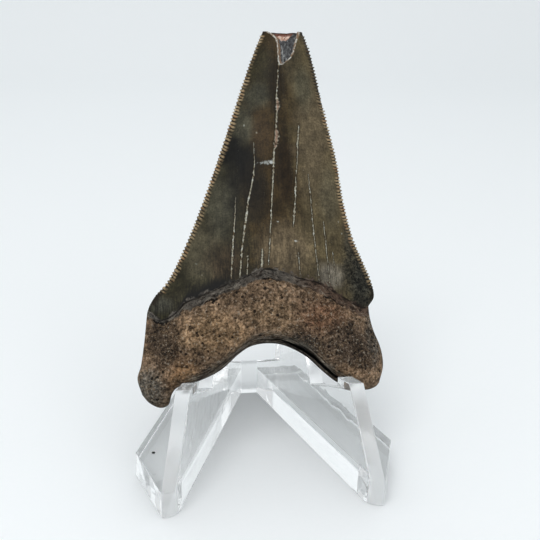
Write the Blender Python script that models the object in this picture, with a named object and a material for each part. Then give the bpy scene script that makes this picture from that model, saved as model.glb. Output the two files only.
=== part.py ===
"""A fossil megalodon tooth leaning on a clear acrylic easel.

Metres, +Z up. The easel stands on the plane Z = 0, centred on the origin, and opens towards -Y,
where a viewer stands. The tooth rests on the easel's two sloping ledges and leans back against
its two fingers.
"""
import math

import bmesh
import bpy
import numpy as np
from mathutils import Vector

MM = 0.001

# Easel, in millimetres: two upright webs in a V plan that meet in a hub at the back
WEB_OUTER_X = 22.3          # outer face of a web at the front, from the middle
WEB_WIDTH = 3.0             # web thickness, measured along X
V_SLOPE = 0.344             # how far the webs close in for each millimetre of depth
HUB_FRONT_Y = 50.4
HUB_BACK_Y = 54.0
SLAB_HEIGHT = 5.7           # foot flange outside each web
SLAB_CORNER = (27.4, 15.6)  # widest point of the flange, X and Y
TOE_ROUND = 2.2             # rounding of the toe's inner corner on the floor
TOE_ROUND_TOP = 9.0         # height where that rounding has run out

# Web outline from the side, in millimetres of depth and height
PRONG_FRONT = (9.5, 22.9)
PRONG_BACK = (13.9, 22.3)
LEDGE_FRONT = (13.9, 19.9)
LEDGE_BACK = (24.6, 15.3)
FINGER_LENGTH = 24.0
FINGER_TOP_WIDTH = 5.2
FINGER_TOP_FALL = 0.6       # slope of the finger's top, as a share of a square cut's
HEEL = (41.5, 13.6)
HUB_FRONT_Z = 9.0
HUB_BACK_Z = 7.3

# Tooth, in millimetres, in its own upright plane: X across, Z up along the tooth
LEAN = math.radians(24.0)
TOOTH_PLACE = (0.0, 19.2, 20.5)   # the tooth's own zero point, in the easel's millimetres
CROWN_LEFT = [(-24.3, 14.0), (-23.7, 15.6), (-22.4, 17.6), (-19.6, 20.8), (-15.8, 28.1), (-11.8, 37.6),
              (-8.5, 46.4), (-5.6, 54.5), (-2.7, 62.7), (-0.2, 69.3), (1.9, 74.3)]
CROWN_RIGHT = [(22.9, 14.0), (24.2, 16.2), (23.5, 19.7), (21.7, 24.3), (19.9, 29.0), (18.1, 37.1),
               (17.0, 45.7), (15.2, 54.0), (13.5, 62.3), (12.1, 69.0), (10.5, 74.2)]
NECK_LINE = [(-24.3, 14.0), (-21.7, 12.4), (-18.5, 13.8), (-16.6, 15.8), (-14.1, 16.8), (-8.3, 19.2),
             (-4.2, 20.7), (-0.4, 22.3), (3.0, 21.9), (7.4, 20.3), (11.9, 19.0), (16.3, 16.4),
             (20.8, 14.0), (22.9, 14.0)]
ROOT_LEFT = [(-25.7, -3.0), (-26.6, 0.3), (-25.8, 3.2), (-25.0, 8.2), (-24.5, 12.4), (-24.3, 14.0)]
ROOT_RIGHT = [(24.6, -2.4), (25.6, 1.3), (25.2, 5.0), (23.8, 8.8), (23.1, 11.7), (22.9, 14.0)]
ROOT_BOTTOM = [(-25.7, -3.0), (-24.3, -4.7), (-22.1, -5.8), (-20.3, -5.2), (-19.5, -2.9), (-18.0, -1.6),
               (-13.7, -0.5), (-9.3, 1.5), (-5.6, 4.6), (-2.7, 6.3), (1.0, 6.8), (4.7, 6.1), (9.0, 3.7),
               (12.6, 0.3), (15.5, -2.0), (18.5, -3.3), (21.6, -3.8), (23.6, -3.3), (24.6, -2.4)]
TIP_BREAK = [(1.9, 74.3), (3.6, 73.9), (6.3, 73.6), (8.7, 73.9), (10.5, 74.2)]

COLUMNS = 26                # from edge to edge, crown and root alike
CROWN_ROWS = 42
ROOT_ROWS = 18
SERRATION_DEPTH = 0.42      # cutting edge: how far each of the fine points stands out
SERRATIONS_PER_ROW = 2

CROWN_FRONT = (5.7, 1.9)    # bulge of the display face at the neck and at the tip
CROWN_BACK = (5.3, 1.3)
ROOT_FRONT = 6.6
ROOT_BACK = 6.6             # a little short of the fingers, which stand 7 behind the middle plane
ENAMEL_STEP = 0.35          # ledge where the enamel ends
BAND_HEIGHT = 1.7           # dark rough band under that ledge
FLAKE_DEPTH = 0.9           # flake scar under the broken tip
FLAKE_POINT = (5.9, 66.4)
CREVICE_DEPTH = 0.8         # split along the right side of the root's arch
LOBE_HEEL_DROP = 1.5        # hidden back of the left lobe, which sits on the ledge
LOBE_HEEL_X = -15.0
LOBE_HEEL_REACH = 2.6       # how far that drop spreads across the lobe
LOBE_HEEL_ROW = 4           # and in rows of the mesh: its middle and its spread
LOBE_HEEL_ROWS = 2.5


def smooth_curve(points, shares):
    """Catmull-Rom curve through the points, read at shares 0 to 1 of its length."""
    points = np.array(points, float)
    padded = np.vstack([2 * points[0] - points[1], points, 2 * points[-1] - points[-2]])
    steps = np.linspace(0.0, 1.0, 24, endpoint=False)[:, None]
    pieces = []
    for index in range(len(points) - 1):
        before, start, end, after = padded[index:index + 4]
        pieces.append(0.5 * (2 * start + (end - before) * steps
                             + (2 * before - 5 * start + 4 * end - after) * steps ** 2
                             + (3 * start - before - 3 * end + after) * steps ** 3))
    line = np.vstack(pieces + [points[-1:]])
    along = np.concatenate([[0.0], np.cumsum(np.linalg.norm(np.diff(line, axis=0), axis=1))])
    along /= along[-1]
    return np.stack([np.interp(shares, along, line[:, axis]) for axis in (0, 1)], -1)


def patch(bottom, top, left, right, across, up):
    """Coons patch: the flat area between four edge curves, on a grid of shares across and up."""
    low = smooth_curve(bottom, across)[None]
    high = smooth_curve(top, across)[None]
    near = smooth_curve(left, up)[:, None]
    far = smooth_curve(right, up)[:, None]
    u = across[None, :, None]
    v = up[:, None, None]
    corners = ((1 - u) * (1 - v) * low[:, :1] + u * (1 - v) * low[:, -1:]
               + (1 - u) * v * high[:, :1] + u * v * high[:, -1:])
    return (1 - v) * low + v * high + (1 - u) * near + u * far - corners


def ease(low, high, value):
    """0 below low, 1 above high, a smooth S between."""
    share = np.clip((value - low) / (high - low), 0.0, 1.0)
    return share * share * (3 - 2 * share)


def lumps(grid, size, seed):
    """Sum of a few slanted waves: the low relief of worn fossil bone."""
    phase = np.random.default_rng(seed).uniform(0, 2 * math.pi, 4)
    x, z = grid[..., 0] / size, grid[..., 1] / size
    return (np.sin(x * 1.3 + z * 0.6 + phase[0]) + np.sin(z * 1.5 - x * 0.5 + phase[1])
            + np.sin((x + z) * 2.1 + phase[2]) * 0.6 + np.sin((x - z) * 2.4 + phase[3]) * 0.6) / 3.2


def crown_depths(grid, across, up):
    """How far the crown's front and back stand off its middle plane: a lens, fuller in front."""
    side = np.abs(2 * across[None, :] - 1)
    taper = up[:, None] ** 0.92
    front = (CROWN_FRONT[0] + (CROWN_FRONT[1] - CROWN_FRONT[0]) * taper) * (1 - side ** 2.1) ** 0.85
    back = (CROWN_BACK[0] + (CROWN_BACK[1] - CROWN_BACK[0]) * taper) * (1 - side ** 3.2) ** 0.9
    below_tip = np.clip((grid[..., 1] - FLAKE_POINT[1]) / (TIP_BREAK[0][1] - FLAKE_POINT[1]), 0.0, 1.0)
    half_width = 0.5 + 3.1 * below_tip
    inside = 1 - ease(0.75, 1.05, np.abs(grid[..., 0] - FLAKE_POINT[0]) / half_width)
    front = front - FLAKE_DEPTH * inside * ease(0.0, 0.12, below_tip) * (0.55 + 0.45 * below_tip)
    return np.maximum(front, 0.0), back


def root_depths(grid, across, up):
    """The root's front and back: round at the lower rim, full in the middle, lumpy, with a split."""
    side = np.abs(2 * across[None, :] - 1)
    rise = up[:, None]
    lower = np.sqrt(1 - (1 - np.clip(rise / 0.34, 0.0, 1.0)) ** 2)
    to_neck = ease(0.35, 1.0, rise)
    front_full = ROOT_FRONT * (1 - to_neck) + CROWN_FRONT[0] * to_neck
    back_full = ROOT_BACK * (1 - to_neck) + CROWN_BACK[0] * to_neck
    lobe = 1 - 0.25 * side ** 2 * (1 - to_neck)
    front = front_full * lobe * lower * (1 - side ** (3.4 - 1.3 * to_neck)) ** (0.55 + 0.3 * to_neck)
    back = back_full * lower * (1 - side ** (3.8 - 0.6 * to_neck)) ** (0.6 + 0.3 * to_neck)
    inner = lower * (1 - side ** 6)
    relief = 0.32 * lumps(grid, 2.2, 5) * inner * (1 - ease(0.85, 1.0, rise))
    on_right = ease(0.56, 0.64, across)[None, :] * (1 - ease(0.86, 0.93, across))[None, :]
    crevice = CREVICE_DEPTH * on_right * np.exp(-((rise - 0.17) / 0.045) ** 2)
    back_relief = 0.35 * inner * (1 + lumps(grid, 2.6, 8)) * 0.5
    return np.maximum(front + relief * 0.7 - crevice, 0.0), back - back_relief


def serrated_edge(curve, count, outward):
    """The cutting edge: every second point of the smooth edge stands out, up to the shoulder."""
    shares = np.linspace(0.0, 1.0, count)
    line = smooth_curve(curve, shares)
    run = np.gradient(line, axis=0)
    run /= np.linalg.norm(run, axis=1)[:, None]
    normal = np.stack([run[:, 1], -run[:, 0]], -1) * outward
    strength = ease(0.06, 0.12, shares) * (1 - ease(0.97, 0.995, shares))
    points_out = (np.arange(count) % 2) * 2.0 - 1.0
    return line + normal * (points_out * strength * SERRATION_DEPTH * 0.5)[:, None]


def tooth_rows():
    """Flat grids of the root and of the crown, from the root's rim to the tip, and their depths."""
    across = 0.5 - 0.5 * np.cos(np.linspace(0, math.pi, COLUMNS + 1))
    across = 0.45 * across + 0.55 * np.linspace(0, 1, COLUMNS + 1)
    near_rim = [0.0, 0.02, 0.06, 0.10, 0.14, 0.17, 0.20, 0.24]
    root_up = np.concatenate([near_rim, np.linspace(0.29, 1.0, ROOT_ROWS + 1 - len(near_rim))])
    crown_up = np.linspace(0.0, 1.0, CROWN_ROWS + 1)
    root = patch(ROOT_BOTTOM, NECK_LINE, ROOT_LEFT, ROOT_RIGHT, across, root_up)
    crown = patch(NECK_LINE, TIP_BREAK, CROWN_LEFT, CROWN_RIGHT, across, crown_up)
    root_front, root_back = root_depths(root, across, root_up)
    crown_front, crown_back = crown_depths(crown, across, crown_up)
    return root, (root_front, root_back), crown, (crown_front, crown_back)


def add_enamel_ledge(root, depths):
    """Lowers the band of root just under the enamel, so the enamel ends in a small ledge."""
    front, back = depths
    below = root[-1:, :, 1] - root[..., 1]
    across = np.abs(np.linspace(-1, 1, front.shape[1]))[None, :]
    sunk = ENAMEL_STEP * (1 - ease(BAND_HEIGHT, BAND_HEIGHT * 1.6, below)) * (1 - across ** 8)
    front[:-1] -= np.minimum(sunk, front * 0.5)[:-1]
    back[:-1] -= np.minimum(sunk, back * 0.5)[:-1]


def tooth_mesh():
    """Front and back sheets that share one rim, with a flat broken tip."""
    root, root_depth, crown, crown_depth = tooth_rows()
    add_enamel_ledge(root, root_depth)
    grid = np.vstack([root[:-1], crown])
    front = np.vstack([root_depth[0][:-1], crown_depth[0]])
    back = np.vstack([root_depth[1][:-1], crown_depth[1]])
    from_heel = np.arange(len(grid))[:, None] - LOBE_HEEL_ROW
    heel = np.exp(-((grid[..., 0] - LOBE_HEEL_X) / LOBE_HEEL_REACH) ** 2)
    heel = heel * np.exp(-(from_heel / LOBE_HEEL_ROWS) ** 2)
    back_grid = grid.copy()
    back_grid[..., 1] -= LOBE_HEEL_DROP * heel
    rows, columns = front.shape
    first_crown = len(root) - 1

    def place(flat, depth):
        return flat[0] * MM, -depth * MM, flat[1] * MM

    mesh = bmesh.new()
    front_ids, back_ids = [], []
    for row in range(rows):
        front_line, back_line = [None] * columns, [None] * columns
        for column in range(columns):
            on_rim = column in (0, columns - 1) or row == 0
            if on_rim:
                continue
            front_line[column] = mesh.verts.new(place(grid[row, column], front[row, column]))
            back_line[column] = mesh.verts.new(place(back_grid[row, column], -back[row, column]))
        front_ids.append(front_line)
        back_ids.append(back_line)

    # rim points: the root's lower rim and sides, then the serrated crown edges
    for column in range(columns):
        corner = mesh.verts.new(place(grid[0, column], 0.0))
        front_ids[0][column] = back_ids[0][column] = corner
    step = 2 * SERRATIONS_PER_ROW
    for column, curve, outward in ((0, CROWN_LEFT, -1), (columns - 1, CROWN_RIGHT, 1)):
        for row in range(1, first_crown):
            rim = mesh.verts.new(place(grid[row, column], 0.0))
            front_ids[row][column] = back_ids[row][column] = rim
        edge = serrated_edge(curve, CROWN_ROWS * step + 1, outward)
        fine = [mesh.verts.new(place(point, 0.0)) for point in edge]
        inner = 1 if column == 0 else columns - 2
        for row in range(first_crown, rows):
            front_ids[row][column] = back_ids[row][column] = fine[(row - first_crown) * step]
        for row in range(first_crown, rows - 1):
            start = (row - first_crown) * step
            for ids in (front_ids, back_ids):
                low, high = ids[row][inner], ids[row + 1][inner]
                for index in range(start, start + step):
                    near = low if index < start + step // 2 else high
                    mesh.faces.new((near, fine[index], fine[index + 1]))
                mesh.faces.new((low, fine[start + step // 2], high))

    for row in range(rows - 1):
        in_crown = row >= first_crown
        for column in range(columns - 1):
            if in_crown and column in (0, columns - 2):
                continue
            for ids in (front_ids, back_ids):
                below, above = ids[row], ids[row + 1]
                corners = (below[column], below[column + 1], above[column + 1], above[column])
                mesh.faces.new(corners)
    top_front, top_back = front_ids[-1], back_ids[-1]
    for column in range(columns - 1):
        ring = [top_front[column], top_front[column + 1], top_back[column + 1], top_back[column]]
        mesh.faces.new(list(dict.fromkeys(ring)))
    bmesh.ops.triangulate(mesh, faces=mesh.faces)
    bmesh.ops.recalc_face_normals(mesh, faces=mesh.faces)
    return mesh


def inner_x(depth):
    """Inner face of a web at a depth."""
    return WEB_OUTER_X - WEB_WIDTH - V_SLOPE * depth


def outer_x(depth):
    """Outer face of a web at a depth."""
    return WEB_OUTER_X - V_SLOPE * depth


def web_outline():
    """Side outline of a web from the prong's top, over the ledge and the finger, to the hub."""
    finger_run = FINGER_LENGTH * math.sin(LEAN)
    finger_rise = FINGER_LENGTH * math.cos(LEAN)
    finger_top = (LEDGE_BACK[0] + finger_run, LEDGE_BACK[1] + finger_rise)
    fall = FINGER_TOP_WIDTH * math.tan(LEAN) * FINGER_TOP_FALL
    finger_back = (finger_top[0] + FINGER_TOP_WIDTH, finger_top[1] - fall)
    hub = (HUB_FRONT_Y, HUB_FRONT_Z)
    return [PRONG_FRONT, PRONG_BACK, LEDGE_FRONT, LEDGE_BACK, finger_top, finger_back, HEEL, hub]


def toe_arc(height):
    """Rounded inner corner of the toe at a height, smaller the higher it is."""
    radius = TOE_ROUND * (1 - height / TOE_ROUND_TOP)
    corner = inner_x(0.0)
    bend = [math.pi / 2 * step / 4 for step in range(5)]
    points = []
    for angle in bend:
        depth = radius * (1 - math.cos(angle))
        across = corner + radius * (1 - math.sin(angle)) - V_SLOPE * depth
        points.append((across, depth, height))
    return points


def stand_half():
    """Faces of the easel's right half, as lists of corners; it is open only in the middle plane."""
    outline = web_outline()
    front_share = (TOE_ROUND_TOP - SLAB_HEIGHT) / (PRONG_FRONT[1] - SLAB_HEIGHT)
    fade_depth = PRONG_FRONT[0] * front_share
    fade = (inner_x(fade_depth), fade_depth, TOE_ROUND_TOP)
    floor_arc, slab_arc = toe_arc(0.0), toe_arc(SLAB_HEIGHT)
    inner = [(inner_x(depth), depth, height) for depth, height in outline]
    outer = [(outer_x(depth), depth, height) for depth, height in outline]
    toe_low, toe_high = (WEB_OUTER_X, 0.0, 0.0), (WEB_OUTER_X, 0.0, SLAB_HEIGHT)
    side_low, side_high = (*SLAB_CORNER, 0.0), (*SLAB_CORNER, SLAB_HEIGHT)
    back_x = SLAB_CORNER[0] - V_SLOPE * (HUB_BACK_Y - SLAB_CORNER[1])
    back_low, back_high = (back_x, HUB_BACK_Y, 0.0), (back_x, HUB_BACK_Y, SLAB_HEIGHT)
    hub_x = inner_x(HUB_FRONT_Y)
    hub_low = (hub_x, HUB_FRONT_Y, 0.0)
    hub_top = (outer_x(HUB_BACK_Y), HUB_BACK_Y, HUB_BACK_Z)
    hub_foot = (outer_x(HUB_BACK_Y), HUB_BACK_Y, SLAB_HEIGHT)
    hub_side = [(HUB_FRONT_Y, 0.0), (HUB_FRONT_Y, HUB_FRONT_Z), (HUB_BACK_Y, HUB_BACK_Z), (HUB_BACK_Y, 0.0)]
    middle = [(0.0, depth, height) for depth, height in hub_side]
    faces = [
        [floor_arc[-1], slab_arc[-1], fade, *inner, hub_low],
        [toe_high, *outer, hub_top, hub_foot],
        [toe_low, toe_high, slab_arc[0], floor_arc[0]],
        [toe_high, outer[0], inner[0], fade, slab_arc[0]],
        [toe_high, side_high, back_high, hub_foot],
        [toe_low, side_low, side_high, toe_high],
        [side_low, back_low, back_high, side_high],
        [*floor_arc[::-1], toe_low, side_low, back_low, middle[3], middle[0], hub_low][::-1],
        [middle[0], hub_low, inner[-1], middle[1]],
        [middle[1], inner[-1], outer[-1], hub_top, middle[2]],
        [middle[3], middle[2], hub_top, hub_foot, back_high, back_low],
    ]
    faces += [[inner[i], inner[i + 1], outer[i + 1], outer[i]] for i in range(len(outline) - 1)]
    for i in range(len(floor_arc) - 1):
        faces.append([floor_arc[i], floor_arc[i + 1], slab_arc[i + 1], slab_arc[i]])
        faces.append([slab_arc[i], slab_arc[i + 1], fade])
    return faces


def stand_mesh():
    """Both halves, joined in the middle plane."""
    mesh = bmesh.new()
    for side in (1, -1):
        for face in stand_half():
            mesh.faces.new([mesh.verts.new((side * x * MM, y * MM, z * MM)) for x, y, z in face])
    bmesh.ops.remove_doubles(mesh, verts=mesh.verts, dist=0.00001)
    bmesh.ops.triangulate(mesh, faces=mesh.faces)
    bmesh.ops.recalc_face_normals(mesh, faces=mesh.faces)
    return mesh


def tooth_material():
    """Semi-gloss brown fossil enamel and bone."""
    material = bpy.data.materials.new("fossil")
    material.use_nodes = True
    shader = material.node_tree.nodes["Principled BSDF"]
    shader.inputs["Base Color"].default_value = (0.09, 0.065, 0.042, 1.0)
    shader.inputs["Roughness"].default_value = 0.5
    shader.inputs["Metallic"].default_value = 0.0
    return material


def stand_material():
    """Clear polished acrylic."""
    material = bpy.data.materials.new("clear_acrylic")
    material.use_nodes = True
    shader = material.node_tree.nodes["Principled BSDF"]
    shader.inputs["Base Color"].default_value = (0.97, 0.99, 0.99, 1.0)
    shader.inputs["Roughness"].default_value = 0.03
    shader.inputs["Metallic"].default_value = 0.0
    shader.inputs["Transmission Weight"].default_value = 1.0
    shader.inputs["IOR"].default_value = 1.49
    return material


def add_object(name, shape, material):
    """Turns a bmesh into an object with one material."""
    mesh = bpy.data.meshes.new(name)
    shape.to_mesh(mesh)
    shape.free()
    mesh.materials.append(material)
    thing = bpy.data.objects.new(name, mesh)
    bpy.context.scene.collection.objects.link(thing)
    return thing


def main():
    for old in list(bpy.data.objects):
        bpy.data.objects.remove(old)
    middle = Vector((0.0, -HUB_BACK_Y / 2, 0.0)) * MM
    stand = add_object("stand", stand_mesh(), stand_material())
    stand.location = middle
    tooth = add_object("tooth", tooth_mesh(), tooth_material())
    tooth.location = middle + Vector(TOOTH_PLACE) * MM
    tooth.rotation_euler = (-LEAN, 0.0, 0.0)
    tooth.data.shade_smooth()


main()
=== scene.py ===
import math

import bmesh
import bpy
import numpy as np
from mathutils import Matrix, Vector


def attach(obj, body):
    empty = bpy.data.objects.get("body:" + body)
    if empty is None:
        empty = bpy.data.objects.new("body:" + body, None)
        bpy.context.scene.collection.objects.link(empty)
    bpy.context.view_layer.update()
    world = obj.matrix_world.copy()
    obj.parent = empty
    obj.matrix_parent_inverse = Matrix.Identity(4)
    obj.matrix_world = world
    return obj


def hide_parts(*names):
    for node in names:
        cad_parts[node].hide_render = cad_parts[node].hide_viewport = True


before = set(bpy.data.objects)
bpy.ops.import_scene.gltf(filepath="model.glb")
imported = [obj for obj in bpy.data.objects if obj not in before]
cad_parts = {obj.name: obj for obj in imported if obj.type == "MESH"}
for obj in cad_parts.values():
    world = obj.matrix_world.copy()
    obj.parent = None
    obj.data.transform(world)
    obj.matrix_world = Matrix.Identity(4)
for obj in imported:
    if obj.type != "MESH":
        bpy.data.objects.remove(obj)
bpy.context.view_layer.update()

mm = 0.001


# numbers and curves shared by the pieces

def ease(low, high, value):
    # 0 below low, 1 above high, 3s^2 - 2s^3 between
    s = np.clip((value - low) / (high - low), 0.0, 1.0)
    return s * s * (3 - 2 * s)


def lattice(x, y, seed):
    # value noise: random numbers on whole-number corners, blended with 3s^2 - 2s^3
    table = np.random.default_rng(seed).random((128, 128)) * 2 - 1
    xi, yi = np.floor(x).astype(int), np.floor(y).astype(int)
    xf, yf = x - xi, y - yi
    xs, ys = xf * xf * (3 - 2 * xf), yf * yf * (3 - 2 * yf)
    xa, xb, ya, yb = xi % 128, (xi + 1) % 128, yi % 128, (yi + 1) % 128
    low = table[xa, ya] * (1 - xs) + table[xb, ya] * xs
    high = table[xa, yb] * (1 - xs) + table[xb, yb] * xs
    return low * (1 - ys) + high * ys


def fractal(x, y, seed, octaves=4):
    # sum of value noise, each layer twice as fine and half as strong
    total, strength = 0.0, 1.0
    for layer in range(octaves):
        total = total + strength * lattice(x * 2 ** layer + 17.3 * layer, y * 2 ** layer, seed + layer)
        strength *= 0.5
    return total / 1.9


def smoothCurve(points, shares):
    # Catmull-Rom curve through the points, read at shares 0 to 1 of its length
    points = np.array(points, float)
    padded = np.vstack([2 * points[0] - points[1], points, 2 * points[-1] - points[-2]])
    s = np.linspace(0.0, 1.0, 30, endpoint=False)[:, None]
    runs = []
    for k in range(len(points) - 1):
        a, b, c, d = padded[k:k + 4]
        square, cube = 2 * a - 5 * b + 4 * c - d, 3 * b - a - 3 * c + d
        runs.append(0.5 * (2 * b + (c - a) * s + square * s ** 2 + cube * s ** 3))
    line = np.vstack(runs + [points[-1:]])
    along = np.concatenate([[0.0], np.cumsum(np.linalg.norm(np.diff(line, axis=0), axis=1))])
    return np.stack([np.interp(shares, along / along[-1], line[:, axis]) for axis in (0, 1)], -1)


def gridFaces(index):
    # two triangles for each cell of a grid of point numbers
    a, b, c, d = index[:-1, :-1].ravel(), index[:-1, 1:].ravel(), index[1:, 1:].ravel(), index[1:, :-1].ravel()
    return np.vstack([np.stack([a, b, c], -1), np.stack([a, c, d], -1)])


# the tooth: measures in millimetres in its own upright plane, x across and z along the tooth

tooth = {
    "lean": math.radians(24.0),
    "place": (0.0, 19.2, 20.5),          # its zero point, from the middle of the easel's front edge
    "footprintDepth": 54.0,
    "crownLeft": [(-24.3, 14.0), (-23.7, 15.6), (-22.4, 17.6), (-19.6, 20.8), (-15.8, 28.1), (-11.8, 37.6),
                  (-8.5, 46.4), (-5.6, 54.5), (-2.7, 62.7), (-0.2, 69.3), (1.9, 74.2)],
    "crownRight": [(22.9, 14.0), (24.2, 16.2), (23.5, 19.7), (21.7, 24.3), (19.9, 29.0), (18.1, 37.1),
                   (17.0, 45.7), (15.2, 54.0), (13.5, 62.3), (12.1, 69.0), (10.5, 74.1)],
    "neckLine": [(-24.3, 14.0), (-21.7, 12.4), (-18.5, 13.8), (-16.6, 15.8), (-14.1, 16.8), (-8.3, 19.2),
                 (-4.2, 20.7), (-0.4, 22.3), (3.0, 21.9), (7.4, 20.3), (11.9, 19.0), (16.3, 16.4),
                 (20.8, 14.0), (22.9, 14.0)],
    "rootLeft": [(-25.7, -3.0), (-26.6, 0.3), (-25.8, 3.2), (-25.0, 8.2), (-24.5, 12.4), (-24.3, 14.0)],
    "rootRight": [(24.6, -2.4), (25.6, 1.3), (25.2, 5.0), (23.8, 8.8), (23.1, 11.7), (22.9, 14.0)],
    "rootBottom": [(-25.7, -3.0), (-24.3, -4.7), (-22.1, -5.8), (-20.3, -5.2), (-19.5, -2.9), (-18.0, -1.6),
                   (-13.7, -0.5), (-9.3, 1.5), (-5.6, 4.6), (-2.7, 6.3), (1.0, 6.8), (4.7, 6.1), (9.0, 3.7),
                   (12.6, 0.3), (15.5, -2.0), (18.5, -3.3), (21.6, -3.8), (23.6, -3.3), (24.6, -2.4)],
    "tipBreak": [(1.9, 74.2), (3.6, 73.8), (6.3, 73.5), (8.7, 73.8), (10.5, 74.1)],
    "crownFront": (5.9, 1.9),            # bulge of the display face low on the crown and at the tip
    "crownBack": (5.3, 1.3),
    "taper": (14.0, 74.0),               # heights between which the bulge runs out
    "rootFront": 6.6,
    "rootBack": 6.6,
    "serrations": 88,                    # along each cutting edge
    "serrationDepth": 0.42,
    "enamelStep": 0.42,
    "bandHeight": 1.9,
    "flakeDepth": 0.95,
    "flakeLeft": [(5.2, 66.4), (4.95, 66.8), (4.95, 70.1), (4.7, 72.1), (3.7, 73.3), (2.6, 74.3)],
    "flakeRight": [(5.6, 66.4), (6.4, 66.9), (7.55, 68.0), (8.2, 69.5), (8.8, 71.7), (9.3, 73.4), (9.6, 74.3)],
    "crevice": (3.2, 15.9, 0.85),        # from x, to x, height above the root's lower rim
    "creviceDepth": 2.6,
    "heel": (-15.0, 2.6, 0.14, 0.09),    # where the left lobe's back is let down: x, spread, share up, spread
    "heelDrop": 1.5,
    "ribRise": 0.13,                     # height of each serration's rib on the faces
    "ribReach": 1.3,                     # how far the ribs run in from the edge
    "crackSink": 0.35,                   # depth of a crack's groove for its width
    # pale filled cracks, each from its upper end down: x, z, half width
    "cracks": {
        "main": [(4.9, 66.6, 0.14), (4.1, 59.8, 0.10), (4.1, 59.0, 0.20), (4.35, 57.0, 0.44), (4.0, 55.6, 0.16),
                 (3.75, 52.8, 0.18), (3.75, 50.6, 0.42), (3.55, 48.8, 0.42), (3.1, 47.6, 0.16), (2.9, 45.0, 0.20),
                 (2.4, 39.2, 0.12), (2.0, 34.6, 0.14), (1.3, 26.8, 0.09), (0.9, 23.0, 0.05)],
        "left": [(-1.1, 49.4, 0.05), (-1.1, 44.6, 0.10), (-1.7, 40.7, 0.14), (-2.8, 36.6, 0.16),
                 (-3.6, 31.4, 0.20), (-4.4, 26.7, 0.17), (-5.1, 20.6, 0.13)],
        "farLeft": [(-5.3, 37.6, 0.03), (-5.6, 34.0, 0.10), (-6.2, 28.4, 0.15), (-6.9, 20.4, 0.13)],
        "right": [(8.7, 53.4, 0.04), (8.5, 51.4, 0.16), (8.2, 48.6, 0.18), (8.05, 46.4, 0.06), (7.8, 43.6, 0.13),
                  (7.5, 41.6, 0.06), (7.3, 39.4, 0.17), (7.2, 36.8, 0.07), (6.95, 35.0, 0.24), (6.8, 33.2, 0.20),
                  (6.5, 31.0, 0.04)],
        "rightLow": [(7.3, 25.6, 0.04), (7.4, 23.2, 0.09), (7.5, 20.9, 0.05)],
        "farRight": [(10.3, 42.4, 0.03), (10.5, 38.4, 0.10), (10.7, 33.8, 0.07), (10.9, 29.5, 0.11), (11.3, 24.0, 0.06),
                     (11.6, 19.4, 0.09)],
        "lowRight": [(13.2, 32.2, 0.05), (13.5, 27.5, 0.10), (13.7, 23.0, 0.06), (13.9, 18.6, 0.09)],
        "shortLow": [(-0.2, 26.5, 0.12), (-0.5, 22.4, 0.24)],
        "shortLeft": [(-3.3, 24.6, 0.09), (-3.6, 21.0, 0.12)],
        "edgeRight": [(14.9, 25.7, 0.04), (15.3, 18.6, 0.08)],
    },
}

frontRows = (150, 352)                   # rows of the display face on the root and on the crown
columns = 140                            # columns of the display face; the back has half of each
rimRatio = 3                             # fine rim steps to each row: 12 to a serration


def flatPoint(u, q):
    # Coons patch of root (q 0 to 1) and crown (q 1 to 2) between the outline's curves
    t = tooth
    result = np.zeros(np.broadcast(u, q).shape + (2,))
    for start, low, high, near, far in ((0, "rootBottom", "neckLine", "rootLeft", "rootRight"),
                                        (1, "neckLine", "tipBreak", "crownLeft", "crownRight")):
        v = np.clip(q - start, 0.0, 1.0) + 0 * u
        w = u + 0 * q
        bottom, top = smoothCurve(t[low], w), smoothCurve(t[high], w)
        left, right = smoothCurve(t[near], v), smoothCurve(t[far], v)
        wx, vx = w[..., None], v[..., None]
        corners = ((1 - wx) * (1 - vx) * np.array(t[low][0]) + wx * (1 - vx) * np.array(t[low][-1])
                   + (1 - wx) * vx * np.array(t[high][0]) + wx * vx * np.array(t[high][-1]))
        patch = (1 - vx) * bottom + vx * top + (1 - wx) * left + wx * right - corners
        inside = (q + 0 * u < 1) if start == 0 else (q + 0 * u >= 1)
        result = np.where(inside[..., None], patch, result)
    return result


def sawWave(share):
    # one rounded rib, 0.5 - 0.5 cos, for each serration of uneven length, fading out at the shoulder and the tip
    wave = 0.5 - 0.5 * np.cos(2 * math.pi * tooth["serrations"] * (share + 0.0024 * lattice(share * 45, 0 * share, 29)))
    return wave ** 0.7 * ease(0.05, 0.10, share) * (1 - ease(0.985, 1.0, share))


def crownLens(x, z, bulge, squareness, roundness):
    # depth = (low to high bulge along the taper) x (1 - side^squareness)^roundness, side 0 mid to 1 at the edges
    share = np.linspace(0, 1, 200)
    left, right = smoothCurve(tooth["crownLeft"], share), smoothCurve(tooth["crownRight"], share)
    leftX, rightX = np.interp(z, left[:, 1], left[:, 0]), np.interp(z, right[:, 1], right[:, 0])
    side = np.clip(np.abs(2 * (x - leftX) / (rightX - leftX) - 1), 0, 1)
    start, end = tooth["taper"]
    along = np.clip((z - start) / (end - start), 0, 1) ** 0.92
    return (bulge[0] + (bulge[1] - bulge[0]) * along) * (1 - side ** squareness) ** roundness


def flakeInside(x, z):
    # millimetres inside the flake scar's outline, below zero outside it
    left, right = np.array(tooth["flakeLeft"]), np.array(tooth["flakeRight"])
    wobble = 0.12 * fractal(x * 1.6, z * 1.6, 41)
    fromLeft = x - np.interp(z, left[:, 1], left[:, 0])
    fromRight = np.interp(z, right[:, 1], right[:, 0]) - x
    return np.minimum(np.minimum(fromLeft, fromRight) + wobble, z - left[0][1])


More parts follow.
